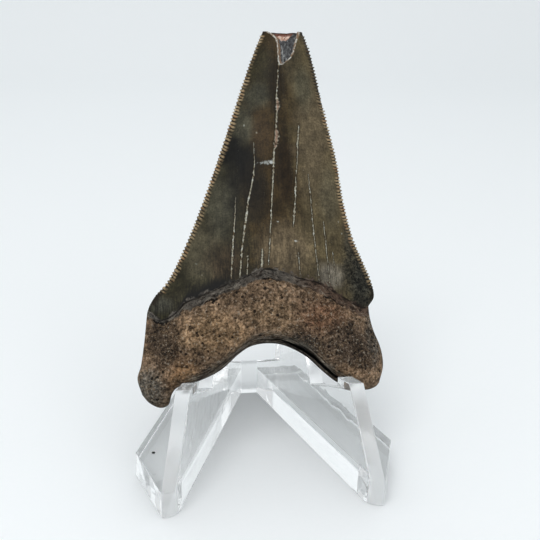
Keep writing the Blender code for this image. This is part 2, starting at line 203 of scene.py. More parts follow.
def crackRelief(x, z):
    # how far the surface sinks at the filled cracks: a rounded groove of each crack's own width
    sunk = np.zeros_like(x)
    for points in tooth["cracks"].values():
        line = np.array(points)[::-1]
        middle = np.interp(z, line[:, 1], line[:, 0])
        width = np.interp(z, line[:, 1], line[:, 2]) + 0.08
        within = (z > line[0, 1]) & (z < line[-1, 1])
        sunk = np.maximum(sunk, within * np.clip(1.2 - np.abs(x - middle) / width, 0, 1) * np.minimum(width, 0.3))
    return tooth["crackSink"] * sunk


def rimHeight(u, z):
    # millimetres above the root's lower rim at the same share across
    return z - smoothCurve(tooth["rootBottom"], u)[..., 1]


def creviceMask(u, x, z):
    # the open split along the right of the arch, 0 outside it and 1 at its middle; a hairline runs on leftwards
    start, end, height = tooth["crevice"]
    above = rimHeight(u, z) - height - 0.16 * fractal(x * 0.7, 0 * x, 9)
    width = 0.11 + 0.19 * ease(start, start + 4, x) * (1 - 0.4 * ease(end - 4, end, x))
    reach = ease(start - 5, start, x) * (1 - ease(end - 0.6, end + 0.4, x))
    return reach * np.exp(-(above / width) ** 4) * (0.45 + 0.55 * ease(start - 1, start + 3, x))


def neckFlakes(x, z, below):
    # torn layers under the enamel: terraces of a noise that is stretched along the neck line
    torn = fractal(x * 0.55, below * 1.5, 71, 3) + 0.35 * fractal(x * 2.2, z * 2.2, 75, 2)
    return 0.16 * ease(-0.12, -0.02, torn) + 0.14 * ease(0.22, 0.30, torn) + 0.12 * ease(0.55, 0.62, torn)


def rootRise(q):
    # share of the way up the root, its rounded lower edge, and how far the crown's lens has taken over
    rise = np.clip(q, 0, 1)
    return rise, np.sqrt(1 - (1 - np.clip(rise / 0.34, 0, 1)) ** 2), ease(0.35, 1.0, rise)


def joinDepth(q, root, sunk, crown):
    # the root less its torn ledge below the neck line, the crown above it, and never below zero
    return np.maximum(np.where(q < 1, root - np.minimum(sunk, root * 0.5) * (q < 0.999), crown), 0.0)


def frontDepth(u, q, flat):
    # crown lens above the neck line and root form below it, then scar, cracks, split, torn layers and pits
    t = tooth
    x, z = flat[..., 0], flat[..., 1]
    side = np.abs(2 * u - 1)
    lens = crownLens(x, z, t["crownFront"], 2.1, 0.85)
    inside = flakeInside(x, z)
    ripples = 0.06 * np.sin(np.hypot(x - 6.0, z - 75.0) * 4.2) + 0.10 * fractal(x * 1.4, z * 1.4, 43)
    scar = (t["flakeDepth"] * (0.5 + 0.5 * ease(66.4, 73.0, z)) + ripples) * ease(0.0, 0.16, inside)
    streaks = 0.035 * lattice(x * 2.6, z * 0.16, 51) * (1 - side ** 6) * ease(1.0, 1.05, q)
    worn = 0.20 * ease(0.1, 0.6, fractal(x * 0.8, z * 0.8, 57)) * ease(15.5, 19.0, x) * (1 - ease(24.0, 30.0, z))
    crown = lens - scar + streaks - crackRelief(x, z) * (1 - side ** 8) - worn * (1 - side ** 6) * ease(1.0, 1.02, q)
    rise, lower, toNeck = rootRise(q)
    lobe = 1 - 0.25 * side ** 2
    root = t["rootFront"] * lobe * lower * (1 - side ** 3.4) ** 0.55 * (1 - toNeck) + lens * toNeck
    calm = lower * (1 - side ** 6)
    root = root + 0.30 * fractal(x * 0.33, z * 0.33, 3) * calm * (1 - ease(0.85, 1.0, rise))
    split = t["creviceDepth"] * creviceMask(u, x, z)
    fibres = 0.10 * fractal(x * 0.35, rimHeight(u, z) * 2.6, 66, 3) * (1 - ease(2.0, 4.5, rimHeight(u, z)))
    pits = 0.42 * ease(0.28, 0.60, fractal(x * 1.3, z * 1.3, 61))
    pits = pits + 0.22 * ease(0.1, 0.6, fractal(x * 2.4, z * 2.4, 65, 3))
    root = root + (fibres - pits) * calm * (1 - ease(0.93, 1.0, rise)) - np.minimum(split, root * 0.6)
    below = smoothCurve(t["neckLine"], u)[..., 1] + 0.22 * fractal(x * 0.9, 0 * x, 12) - z
    height = t["bandHeight"] * (0.35 + 0.65 * ease(-20.5, -15.5, x))
    inBand = 1 - ease(height, height + 0.6, below + 0.9 * fractal(x * 0.4, z * 0.4, 15))
    sunk = (t["enamelStep"] - 0.1 + neckFlakes(x, z, below)) * inBand * (1 - side ** 8)
    return joinDepth(q, root, sunk, crown)


def backDepth(u, q, flat):
    # flatter lens; the root's back is broad and lumpy, with the same torn ledge under the enamel
    t = tooth
    x, z = flat[..., 0], flat[..., 1]
    side = np.abs(2 * u - 1)
    lens = crownLens(x, z, t["crownBack"], 3.2, 0.9)
    crown = lens + 0.03 * lattice(x * 2.2, z * 0.16, 53) * (1 - side ** 6)
    rise, lower, toNeck = rootRise(q)
    root = t["rootBack"] * lower * (1 - side ** 3.8) ** 0.6 * (1 - toNeck) + lens * toNeck
    calm = lower * (1 - side ** 6)
    pits = 0.22 * ease(0.3, 0.7, fractal(x * 1.3, z * 1.3, 62))
    pits = pits + 0.10 * ease(0.1, 0.7, fractal(x * 2.4, z * 2.4, 67, 2))
    root = root - (0.18 * (1 + fractal(x * 0.4, z * 0.4, 8)) + pits) * calm * (1 - ease(0.93, 1.0, rise))
    below = smoothCurve(t["neckLine"], u)[..., 1] - z
    inBand = 1 - ease(t["bandHeight"], t["bandHeight"] * 1.4, below)
    sunk = (t["enamelStep"] - 0.1 + neckFlakes(x + 40.0, z, below)) * inBand * (1 - side ** 8)
    return joinDepth(q, root, sunk, crown)


def rimPoint(side, q):
    # the left (0) or right (1) edge of the outline, pushed in and out by the serrations
    share = np.clip(q - 1, 0, 1)
    base = flatPoint(np.full_like(q, float(side)), q)
    step = np.gradient(base, axis=0)
    step /= np.linalg.norm(step, axis=1)[:, None] + 1e-9
    outward = np.stack([step[:, 1], -step[:, 0]], -1) * (1 if side else -1)
    wave = (sawWave(share) - 0.5 * ease(0.05, 0.10, share)) * np.where(q > 1, 1.0, 0.0)
    worn = 0.85 + (0.4 + 0.9 * side * ease(0.5, 0.7, share)) * lattice(share * 62, 0 * share, 31 + side)
    return base + outward * (wave * worn * tooth["serrationDepth"])[:, None]


def sideShares():
    # root rows crowd towards the lower rim, crown rows are even
    rootRows, crownRows = frontRows
    s = np.linspace(0, 1, rootRows, endpoint=False)
    return np.concatenate([s * (0.55 + 0.45 * s), np.linspace(1, 2, crownRows + 1)])


def columnShares():
    # half even, half crowded towards the two edges
    s = np.linspace(0, 1, columns + 1)
    return 0.55 * s + 0.45 * (0.5 - 0.5 * np.cos(math.pi * s))


def rimShares():
    # the side rows again with rimRatio even steps between each pair
    rows = sideShares()
    k = np.arange((len(rows) - 1) * rimRatio + 1) / rimRatio
    return np.interp(k, np.arange(len(rows)), rows)


def sheetGrid(thin):
    # shares and triangles of one sheet: a plain grid inside, fans out to the shared finer rim
    q, u = sideShares()[::thin], columnShares()[::thin]
    rows, across = len(q) - 1, len(u) - 1
    index = np.arange((rows - 1) * (across - 1)).reshape(rows - 1, across - 1)
    faces = [gridFaces(index)]
    start = index.size
    for line, ratio, turned in ((index[:, 0], thin * rimRatio, True), (index[:, -1], thin * rimRatio, False),
                                (index[0], thin, False), (index[-1], thin, True)):
        count = len(line) + 1
        fine = start + np.arange(count * ratio + 1)
        segment = np.arange(count * ratio)
        nearest = np.clip(np.ceil((segment + 0.5) / ratio - 0.5).astype(int), 1, count - 1) - 1
        k = np.arange(count - 2)
        middle = np.ceil((k + 1.5) * ratio).astype(int)
        strip = np.vstack([np.stack([line[nearest], fine[:-1], fine[1:]], -1),
                           np.stack([line[k], fine[middle], line[k + 1]], -1)])
        faces.append(strip[:, ::-1] if turned else strip)
        start += len(fine)
    uInner = np.repeat(u[None, 1:-1], rows - 1, 0).ravel()
    qInner = np.repeat(q[1:-1, None], across - 1, 1).ravel()
    return uInner, qInner, np.vstack(faces)


def buildSheet(thin, depthOf, facing):
    # one face of the tooth as x, depth, z: the inside grid, then the left, right, lower and upper rim
    u, q, faces = sheetGrid(thin)
    flat = flatPoint(u, q)
    depth = depthOf(u, q, flat)
    rim, low = rimShares(), columnShares()
    ends = np.where((low > 0) & (low < 1), 1.0, 0.0)
    top = flatPoint(low, 0 * low + 2)
    edges = [(0 * rim, rim, rimPoint(0, rim), 0 * rim), (0 * rim + 1, rim, rimPoint(1, rim), 0 * rim),
             (low, 0 * low, flatPoint(low, 0 * low), 0 * low),
             (low, 0 * low + 2, top, depthOf(low, 0 * low + 2, top) * ends)]
    for edgeU, edgeQ, edgeFlat, edgeDepth in edges:
        u, q = np.concatenate([u, edgeU]), np.concatenate([q, edgeQ])
        flat, depth = np.vstack([flat, edgeFlat]), np.concatenate([depth, edgeDepth])
    edge = edgeDistance(u, q)
    reach = np.clip(1 - edge / tooth["ribReach"], 0, 1)
    ribs = sawWave(np.clip(q - 1, 0, 1)) * reach ** 1.3 - 0.4 * reach * ease(1.04, 1.1, q)
    depth = depth + tooth["ribRise"] * ribs * ease(0.05, 0.35, edge) * ease(1.0, 1.02, q) * ease(2.0, 1.99, q)
    if facing < 0:
        heelX, spreadX, heelQ, spreadQ = tooth["heel"]
        heel = tooth["heelDrop"] * np.exp(-((flat[:, 0] - heelX) / spreadX) ** 2)
        heel = heel * np.exp(-((q - heelQ) / spreadQ) ** 2)
        flat = flat - np.stack([0 * heel, heel * ease(0.0, 0.3, depth)], -1)
        faces = faces[:, ::-1]
    return np.stack([flat[:, 0], -facing * depth, flat[:, 1]], -1), u, q, faces


def edgeDistance(u, q):
    # millimetres from the nearer cutting edge, measured across the crown
    share = np.clip(q - 1, 0, 1)
    left, right = smoothCurve(tooth["crownLeft"], share), smoothCurve(tooth["crownRight"], share)
    width = right[:, 0] - left[:, 0]
    return np.minimum(u, 1 - u) * width


def tipCap(rows=14):
    # the broken tip: a rough dished sheet between the upper lines of the front and the back
    low = columnShares()
    flat = flatPoint(low, 0 * low + 2)
    ends = np.where((low > 0) & (low < 1), 1.0, 0.0)
    front, back = frontDepth(low, 0 * low + 2, flat) * ends, backDepth(low, 0 * low + 2, flat) * ends
    s = np.linspace(0, 1, rows + 1)[:, None]
    depth = front[None] * (1 - s) - back[None] * s
    dish = 0.25 * fractal(flat[None, :, 0] * 0.9, depth * 0.9, 81) - 0.35
    height = flat[None, :, 1] + dish * np.sin(math.pi * s) * ends[None]
    points = np.stack([np.broadcast_to(flat[None, :, 0], depth.shape), -depth, height], -1).reshape(-1, 3)
    faces = gridFaces(np.arange(depth.size).reshape(depth.shape))
    return points, np.tile(low, rows + 1), np.full(depth.size, 2.0), faces


def mergePoints(points, faces):
    # points that round to the same ten-thousandth of a millimetre become one; triangles that lose a side are dropped
    key = np.round(points * 1e4).astype(np.int64)
    _, first, back = np.unique(key, axis=0, return_index=True, return_inverse=True)
    faces = back.ravel()[faces]
    good = (faces[:, 0] != faces[:, 1]) & (faces[:, 1] != faces[:, 2]) & (faces[:, 2] != faces[:, 0])
    return first, faces[good]


def meshFrom(name, points, faces):
    # whole arrays into a new mesh object
    mesh = bpy.data.meshes.new(name)
    mesh.vertices.add(len(points))
    mesh.vertices.foreach_set("co", points.astype(np.float32).ravel())
    mesh.loops.add(len(faces) * 3)
    mesh.loops.foreach_set("vertex_index", faces.astype(np.int32).ravel())
    mesh.polygons.add(len(faces))
    mesh.polygons.foreach_set("loop_start", np.arange(0, len(faces) * 3, 3, dtype=np.int32))
    mesh.update(calc_edges=True)
    mesh.validate()
    mesh.shade_smooth()
    thing = bpy.data.objects.new(name, mesh)
    bpy.context.scene.collection.objects.link(thing)
    return thing


def addNote(mesh, name, values):
    # one number per point, for a material to read
    layer = mesh.attributes.new(name, "FLOAT", "POINT")
    layer.data.foreach_set("value", values.astype(np.float32))


def toWorld(points):
    # tooth millimetres to the shared frame: lean back about X, then out to the tooth's place
    c, s = math.cos(tooth["lean"]), math.sin(tooth["lean"])
    x, y, z = points[:, 0], points[:, 1], points[:, 2]
    place = tooth["place"]
    return np.stack([x + place[0], y * c + z * s + place[1] - tooth["footprintDepth"] / 2,
                     -y * s + z * c + place[2]], -1) * mm


def buildTooth():
    # front sheet, back sheet and tip cap, joined along the rim that they share
    parts = (buildSheet(1, frontDepth, 1), buildSheet(2, backDepth, -1), tipCap())
    starts = np.cumsum([0] + [len(part[0]) for part in parts])
    points = np.vstack([part[0] for part in parts])
    u, q = (np.concatenate([part[k] for part in parts]) for k in (1, 2))
    sheet = np.concatenate([np.full(len(part[0]), float(k)) for k, part in enumerate(parts)])
    faces = np.vstack([part[3] + start for part, start in zip(parts, starts)])
    keep, faces = mergePoints(points, faces)
    points, u, q, sheet = points[keep], u[keep], q[keep], sheet[keep]
    thing = meshFrom("megalodonTooth", toWorld(points), faces)
    x, z = points[:, 0], points[:, 2]
    neck = smoothCurve(tooth["neckLine"], u)[:, 1]
    addNote(thing.data, "neckMm", z - neck)
    addNote(thing.data, "crown", ease(0.985, 1.0, q))
    addNote(thing.data, "edgeMm", np.where(q > 1.03, edgeDistance(u, q), 3.0))
    addNote(thing.data, "rib", sawWave(np.clip(q - 1, 0, 1)))
    addNote(thing.data, "flakeMm", np.where(sheet == 0, flakeInside(x, z), np.where(sheet == 2, 1.0, -1.0)))
    addNote(thing.data, "broken", (sheet == 2).astype(float))
    addNote(thing.data, "rimMm", np.where(q < 1, rimHeight(u, z), 30.0))
    addNote(thing.data, "split", np.where((q < 1) & (sheet == 0), creviceMask(u, x, z), 0.0))
    addNote(thing.data, "front", (sheet == 0).astype(float))
    addNote(thing.data, "topMm", np.clip(2 - q, 0, 1) * 56)
    print("tooth triangles", len(faces))
    return thing


# shader tools

def linear(r, g, b):
    # 0 to 255 display colour to the shader's linear colour, by the standard display curve
    shares = (r / 255, g / 255, b / 255)
    return tuple(c / 12.92 if c <= 0.04045 else ((c + 0.055) / 1.055) ** 2.4 for c in shares) + (1.0,)


def addNode(tree, kind, inputs=(), **settings):
    # a node with its settings; an input is a socket to link or a plain value
    made = tree.nodes.new(kind)
    for name, value in settings.items():
        setattr(made, name, value)
    for name, value in dict(inputs).items():
        if isinstance(value, bpy.types.NodeSocket):
            tree.links.new(value, made.inputs[name])
        else:
            made.inputs[name].default_value = value
    return made


def mathNode(tree, operation, *values):
    # one reckoning with numbers
    return addNode(tree, "ShaderNodeMath", dict(enumerate(values)), operation=operation).outputs[0]


def chain(tree, operation, values):
    # the same reckoning laid through two or more numbers, from the left
    result = values[0]
    for value in values[1:]:
        result = mathNode(tree, operation, result, value)
    return result


def times(tree, *values):
    # product of the values
    return chain(tree, "MULTIPLY", values)


def plus(tree, *values):
    # sum of the values
    return chain(tree, "ADD", values)


def minus(tree, *values):
    # the first value less the others
    return chain(tree, "SUBTRACT", values)


def swing(tree, value, size, middle=0.5):
    # (value - middle) x size: a noise made to swing about zero
    return times(tree, minus(tree, value, middle), size)


def mix(tree, factor, first, second, blend="MIX"):
    # first colour at factor 0, second at factor 1
    made = addNode(tree, "ShaderNodeMix", {0: factor, 6: first, 7: second}, data_type="RGBA", blend_type=blend)
    return made.outputs[2]


def remap(tree, value, fromLow, fromHigh, toLow=0.0, toHigh=1.0, smooth=True):
    # toLow to toHigh while the value runs from fromLow to fromHigh, and flat beyond them
    kind = "SMOOTHSTEP" if smooth else "LINEAR"
    made = addNode(tree, "ShaderNodeMapRange", {0: value, 1: fromLow, 2: fromHigh, 3: toLow, 4: toHigh},
                   interpolation_type=kind, clamp=True)
    return made.outputs[0]


def noise(tree, vector, scale, detail=4.0, rough=0.55, stretch=(1, 1, 1)):
    # fractal noise from 0 to 1, mostly 0.3 to 0.7; a larger stretch number makes it finer along that axis
    scaled = addNode(tree, "ShaderNodeMapping", {"Vector": vector, "Scale": stretch}).outputs[0]
    settings = {"Vector": scaled, "Scale": scale, "Detail": detail, "Roughness": rough}
    return addNode(tree, "ShaderNodeTexNoise", settings).outputs["Fac"]


def stretched(tree, across, acrossScale, up, upScale):
    # coordinates for a noise that lies in layers: across and up, each by its own scale
    inputs = {0: times(tree, across, acrossScale), 1: times(tree, up, upScale)}
    return addNode(tree, "ShaderNodeCombineXYZ", inputs).outputs[0]


def mixNumber(tree, factor, first, second):
    # first number at factor 0, second at factor 1
    return addNode(tree, "ShaderNodeMix", {0: factor, 2: first, 3: second}, data_type="FLOAT").outputs[0]


def readNote(tree, name):
    # a number that the mesh carries
    return addNode(tree, "ShaderNodeAttribute", attribute_name=name).outputs["Fac"]


def addBump(tree, shader, height, distance):
    # the height, 0 to 1, raises the surface by the distance in metres
    bump = addNode(tree, "ShaderNodeBump", {"Height": height, "Strength": 1.0, "Distance": distance})
    tree.links.new(bump.outputs[0], shader.inputs["Normal"])


def newMaterial(name):
    # an empty material, its node tree and its shader
    made = bpy.data.materials.new(name)
    made.use_nodes = True
    tree = made.node_tree
    return made, tree, tree.nodes["Principled BSDF"]


def shade(tree, colour, value, low, high, darkest, brightest):
    # colour x a number that runs from darkest to brightest while the value runs from low to high
    return mix(tree, 1.0, colour, remap(tree, value, low, high, darkest, brightest, smooth=False), "MULTIPLY")


def newGroup(name, inputs, results=("Mask",)):
    # a shader node group with its named inputs and number outputs
    group = bpy.data.node_groups.new(name, "ShaderNodeTree")
    for socketName, kind in inputs:
        group.interface.new_socket(socketName, in_out="INPUT", socket_type=kind)
    for socketName in results:
        group.interface.new_socket(socketName, in_out="OUTPUT", socket_type="NodeSocketFloat")
    ins = group.nodes.new("NodeGroupInput").outputs
    outs = group.nodes.new("NodeGroupOutput").inputs
    return group, ins, outs


def crackGroup():
    # share = distance from the crack's middle line / its half width: 1 within it, and a shadow just beside it
    number = "NodeSocketFloat"
    group, ins, outs = newGroup("crackLine", [("Across", number), ("Middle", number), ("Half width", number),
                                              ("Ragged", number)], ("Mask", "Beside", "Core"))
    offset = mathNode(group, "ABSOLUTE", minus(group, ins["Across"], ins["Middle"]))
    ragged = times(group, ins["Half width"], ins["Ragged"])
    share = mathNode(group, "DIVIDE", offset, mathNode(group, "MAXIMUM", ragged, 0.001))
    group.links.new(remap(group, share, 0.75, 1.15, 1.0, 0.0), outs["Mask"])
    wide = mathNode(group, "DIVIDE", offset, plus(group, ragged, 0.16))
    present = mathNode(group, "GREATER_THAN", ins["Half width"], 0.01)
    group.links.new(times(group, remap(group, wide, 0.8, 1.3, 1.0, 0.0), present), outs["Beside"])
    broad = remap(group, ins["Half width"], 0.20, 0.32)
    group.links.new(times(group, remap(group, share, 0.70, 0.50), broad), outs["Core"])
    return group


def patchGroup():
    # mask of a soft stain: 1 at its centre, 0 beyond its radii, with an edge that the Wobble pushes about
    vector, number = "NodeSocketVector", "NodeSocketFloat"
    group, ins, outs = newGroup("softStain", [("At", vector), ("Centre", vector), ("Radii", vector),
                                              ("Wobble", number), ("Strength", number)])
    away = addNode(group, "ShaderNodeVectorMath", {0: ins["At"], 1: ins["Centre"]}, operation="SUBTRACT").outputs[0]
    scaled = addNode(group, "ShaderNodeVectorMath", {0: away, 1: ins["Radii"]}, operation="DIVIDE").outputs[0]
    length = addNode(group, "ShaderNodeVectorMath", {0: scaled}, operation="LENGTH").outputs["Value"]
    ragged = plus(group, length, ins["Wobble"])
    mask = times(group, remap(group, ragged, 1.25, 0.35), ins["Strength"])
    group.links.new(mask, outs["Mask"])
    return group


def curveNode(tree, value, low, high, points):
    # a number that follows a drawn curve: points are (share of the way from low to high, result 0 to 1)
    share = mathNode(tree, "DIVIDE", minus(tree, value, low), high - low)
    made = addNode(tree, "ShaderNodeFloatCurve", {"Value": share})
    curve = made.mapping.curves[0]
    curve.points[0].location = points[0]
    curve.points[1].location = points[-1]
    for point in points[1:-1]:
        curve.points.new(*point)
    for point in curve.points:
        point.handle_type = "VECTOR"
    made.mapping.update()
    return made.outputs[0]


def crackMasks(tree, at, x, z):
    # every crack of the tooth's own list, joined: x and width follow curves down the crown
    group = crackGroup()
    across = plus(tree, x, swing(tree, noise(tree, at, 1.0, 3.0, 0.6, (0.2, 0.2, 1.3)), 0.5))
    ragged = remap(tree, noise(tree, at, 1.0, 3.0, 0.7, (0.6, 0.6, 2.4)), 0.30, 0.68, 0.15, 1.75, smooth=False)
    start, end = crackLook["span"]
    joined = None
    for points in tooth["cracks"].values():
        line = points[::-1]
        low, high = line[0][1], line[-1][1]
        shares = [(pz - low) / (high - low) for _, pz, _ in line]
        places = [(s, (px - start) / (end - start)) for s, (px, _, _) in zip(shares, line)]
        middle = curveNode(tree, z, low, high, places)
        width = curveNode(tree, z, low, high, [(s, w) for s, (_, _, w) in zip(shares, line)])
        inside = times(tree, mathNode(tree, "GREATER_THAN", z, low), mathNode(tree, "LESS_THAN", z, high))
        one = addNode(tree, "ShaderNodeGroup", node_tree=group)
        middleX = plus(tree, times(tree, middle, end - start), start)
        halfWidth = times(tree, width, inside)
        for name, value in (("Across", across), ("Middle", middleX), ("Half width", halfWidth), ("Ragged", ragged)):
            tree.links.new(value, one.inputs[name])
        found = [one.outputs[k] for k in range(3)]
        joined = found if joined is None else [mathNode(tree, "MAXIMUM", old, new) for old, new in zip(joined, found)]
    return joined


def stain(tree, at, wobble, colour, stains, group):
    # lays each named stain over a colour
    for centre, radii, tone, strength in stains.values():
        one = addNode(tree, "ShaderNodeGroup", node_tree=group)
        tree.links.new(at, one.inputs["At"])
        tree.links.new(wobble, one.inputs["Wobble"])
        one.inputs["Centre"].default_value = (centre[0], 0.0, centre[1])
        one.inputs["Radii"].default_value = (radii[0], 1000.0, radii[1])
        one.inputs["Strength"].default_value = strength
        colour = mix(tree, one.outputs[0], colour, linear(*tone))
    return colour


def toothCoordinates(tree):
    # object coordinates turned upright with the tooth and given in millimetres
    lean, place = tooth["lean"], tooth["place"]
    raw = addNode(tree, "ShaderNodeTexCoord").outputs["Object"]
    shift = Vector((place[0], place[1] - tooth["footprintDepth"] / 2, place[2]))
    shift.rotate(Matrix.Rotation(lean, 3, "X"))
    return addNode(tree, "ShaderNodeMapping", {"Vector": raw, "Location": tuple(-shift), "Rotation": (lean, 0, 0),
                                               "Scale": (1000, 1000, 1000)}).outputs[0]


crackLook = {
    "span": (-10.0, 18.0),              # x range that the cracks' curves cover, in millimetres
    # display colours, 0 to 255, here and below
    "fill": (146, 142, 126), "fillBrown": (98, 82, 60), "fillWhite": (190, 192, 184),
    "fillPink": (132, 110, 94), "shadow": (18, 14, 9),
}

# noises: scale, detail, roughness, stretch; shades: the noise's two ends, then the darkest and the brightest factor
# stains and specks: centre (x, z) and radii in millimetres, colour, strength
enamelLook = {
    "noises": {
        "wide": (1.0, 4.0, 0.65, (1.2, 0.6, 0.11)), "fine": (1.0, 5.0, 0.7, (3.4, 2.0, 0.42)),
        "lined": (1.0, 3.0, 0.6, (3.6, 1.0, 0.16)), "patches": (0.30, 5.0, 0.66), "mottle": (0.55, 5.0, 0.68),
        "dust": (2.6, 4.0, 0.7), "rough": (1.3, 5.0, 0.75),
    },
    "shades": {
        "wide": (0.36, 0.64, 0.84, 1.17), "fine": (0.34, 0.66, 0.90, 1.11), "fineLow": (0.40, 0.60, 0.74, 1.28),
        "lined": (0.42, 0.58, 0.55, 1.55), "patches": (0.36, 0.64, 0.68, 1.36), "mottle": (0.36, 0.64, 0.78, 1.26),
        "dust": (0.36, 0.64, 0.68, 1.36), "rough": (0.40, 0.60, 0.25, 2.3),
    },
    "left": (41, 38, 25), "middle": (50, 39, 21), "right": (75, 66, 46), "shadow": (14, 11, 8),
    # groove is painted shade in the creases between the serration ribs; tan also stands in for the ribs' highlight
    "tan": (150, 131, 101), "tanLight": (208, 194, 166), "rust": (132, 94, 62), "paintedGrooveShade": (30, 23, 15),
    "neckShade": (12, 11, 9),
    "stains": {
        "greyRight": ((11.6, 50.0), (4.2, 15.0), (84, 74, 57), 0.8),
        "oliveTop": ((0.8, 65.5), (3.4, 7.5), (42, 39, 25), 0.85),
        "oliveRight": ((8.0, 66.0), (3.0, 6.0), (62, 56, 42), 0.7),
        "blueTop": ((-0.1, 59.4), (3.8, 3.4), (55, 54, 43), 0.8),
        "blueRightTop": ((10.0, 61.5), (2.4, 5.0), (70, 67, 53), 0.8),
        "blueLeft": ((-3.4, 53.0), (3.0, 4.6), (62, 60, 48), 0.9),
        "smudge": ((6.9, 47.3), (2.0, 1.3), (100, 86, 66), 0.55),
        "brownBesideCrack": ((4.2, 61.5), (2.2, 8.0), (26, 20, 10), 0.9),
        "brownRight": ((5.4, 43.0), (2.2, 10.0), (32, 23, 11), 1.0),
        "brownMiddle": ((0.8, 51.0), (2.6, 6.0), (58, 45, 29), 0.7),
        "blackSpot": ((-3.0, 43.6), (3.2, 6.5), (7, 7, 5), 1.0),
        "blackAbove": ((-5.8, 48.0), (2.8, 4.6), (13, 13, 10), 1.0),
        "blackLow": ((-6.2, 38.5), (2.4, 6.5), (24, 23, 18), 0.8),
        "darkUnder": ((-1.4, 38.0), (3.4, 8.0), (26, 21, 13), 0.9),
        "greyMidLeft": ((-9.0, 35.5), (3.2, 8.5), (62, 60, 48), 0.8),
        "greyLowLeft": ((-13.0, 27.0), (4.6, 7.0), (70, 65, 50), 0.8),
        "brownLow": ((-8.0, 24.0), (4.5, 5.0), (54, 43, 30), 0.7),
        "greyMidRight": ((14.8, 37.0), (2.6, 8.0), (80, 74, 58), 0.7),
        "tanLow": ((4.5, 26.0), (6.5, 7.0), (96, 84, 65), 0.75),
        "paleNeck": ((14.2, 20.4), (3.4, 3.4), (114, 108, 97), 0.75),
        "roughShoulder": ((21.2, 19.5), (4.6, 9.0), (42, 41, 35), 1.0),
        "shoulderTop": ((19.0, 27.0), (1.7, 7.0), (48, 45, 36), 0.9),
        "smoothShoulder": ((-21.6, 15.6), (3.0, 2.2), (60, 59, 51), 0.8),
    },
    "specks": {
        "nick": ((1.4, 44.8), (1.7, 0.50), (150, 154, 150), 0.9),
        "nickTop": ((2.3, 44.9), (0.6, 0.50), (180, 184, 182), 0.9),
        "tall": ((-3.0, 53.1), (0.14, 0.36), (170, 172, 160), 0.8),
        "round": ((-0.5, 51.4), (0.26, 0.24), (140, 134, 118), 0.8),
        "ring": ((-13.9, 23.9), (0.34, 0.34), (120, 120, 108), 0.7),
        "ringBelow": ((-12.8, 21.4), (0.20, 0.26), (128, 120, 104), 0.7),
        "besideCrack": ((3.2, 32.1), (0.30, 0.22), (168, 168, 160), 0.8),
        "long": ((7.0, 28.0), (0.50, 0.24), (176, 178, 172), 0.8),
        "edge": ((17.4, 29.7), (0.22, 0.24), (150, 148, 136), 0.8),
        "edgeAbove": ((16.7, 32.2), (0.18, 0.30), (150, 148, 136), 0.7),
        "right": ((11.7, 35.8), (0.20, 0.20), (134, 126, 108), 0.7),
        "low": ((6.9, 24.8), (0.24, 0.22), (140, 134, 118), 0.7),
        "onCrack": ((-3.4, 25.0), (0.34, 0.22), (158, 154, 140), 0.8),
        "dim": ((9.2, 43.1), (0.16, 0.30), (120, 110, 92), 0.6),
    },
}

rootLook = {
    # dark is also the painted shade along the root's lower rim
    # pore is also the painted shadow under the enamel's edge
    "base": (112, 92, 73), "tan": (165, 138, 107), "dark": (34, 28, 23), "poreAndShadow": (9, 7, 6), "grey": (88, 84, 76),
    "pale": (176, 167, 150), "band": (98, 94, 88), "bandDark": (24, 21, 19), "bandBrown": (96, 74, 60),
    # crevice: near black, the painted shade inside the open split
    "crevice": (4, 4, 4),
    "noises": {"broad": (0.28, 4.0, 0.6), "speck": (1.0, 5.0, 0.72), "grain": (1.9, 4.0, 0.70)},
    "fibre": (1.0, 4.0, 0.68, (0.9, 1.2, 2.4)),
    "shades": {"broad": (0.38, 0.62, 0.62, 1.42), "speck": (0.38, 0.62, 0.36, 1.78), "grain": (0.38, 0.62, 0.40, 1.75)},
    # veils of a colour: the noise, where it is nothing and where it is full, strength, colour
    "veils": (("fibre", 0.53, 0.61, 0.42, "tan"), ("fibre", 0.46, 0.37, 0.60, "dark"),
              ("grain", 0.58, 0.65, 0.65, "pale")),
    "stains": {
        "tanMiddle": ((-10.5, 9.4), (8.0, 4.6), (144, 117, 87), 0.8),
        "tanCentre": ((1.5, 12.6), (6.0, 4.0), (130, 107, 82), 0.75),
        "tanLobe": ((-17.2, 0.9), (3.6, 4.5), (132, 101, 70), 0.8),
        "darkLeft": ((-21.6, 9.0), (3.6, 7.5), (50, 42, 35), 0.9),
        "darkMiddleLeft": ((-16.5, 4.5), (4.0, 2.4), (64, 51, 41), 0.6),
        "greyLobe": ((-24.3, -2.0), (3.8, 5.5), (86, 84, 78), 0.85),
        "darkArch": ((7.6, 6.6), (4.8, 3.2), (46, 41, 37), 0.95),
        "redRight": ((12.0, 12.2), (6.5, 4.4), (94, 64, 46), 0.7),
        "darkRight": ((17.5, 5.5), (7.0, 6.0), (56, 47, 40), 0.9),
        "tanRight": ((16.5, -0.6), (4.0, 2.4), (128, 103, 79), 0.65),
        "greyEdge": ((23.2, 7.5), (1.8, 6.5), (68, 65, 60), 0.8),
    },
}

tipLook = {
    # scarHighlight is the pale colour of the scar's painted highlights
    "scar": (66, 66, 67), "scarHighlight": (140, 142, 141), "lip": (196, 193, 184), "lipBrown": (128, 104, 82),
    "core": (172, 132, 112), "coreLight": (224, 200, 184), "coreRed": (84, 40, 28), "topEdge": (48, 34, 28),
}

surfaceLook = {
    "enamelRoughness": 0.34, "rootRoughness": 0.66, "specular": 0.12,
    "relief": 0.5 * mm,                  # depth of a bump of height 1; the rest are heights
    "fine": 0.16, "cracks": 0.18, "shoulder": 2.0, "speck": 1.8, "grain": 1.1, "layers": 0.7, "pores": 0.8,
}


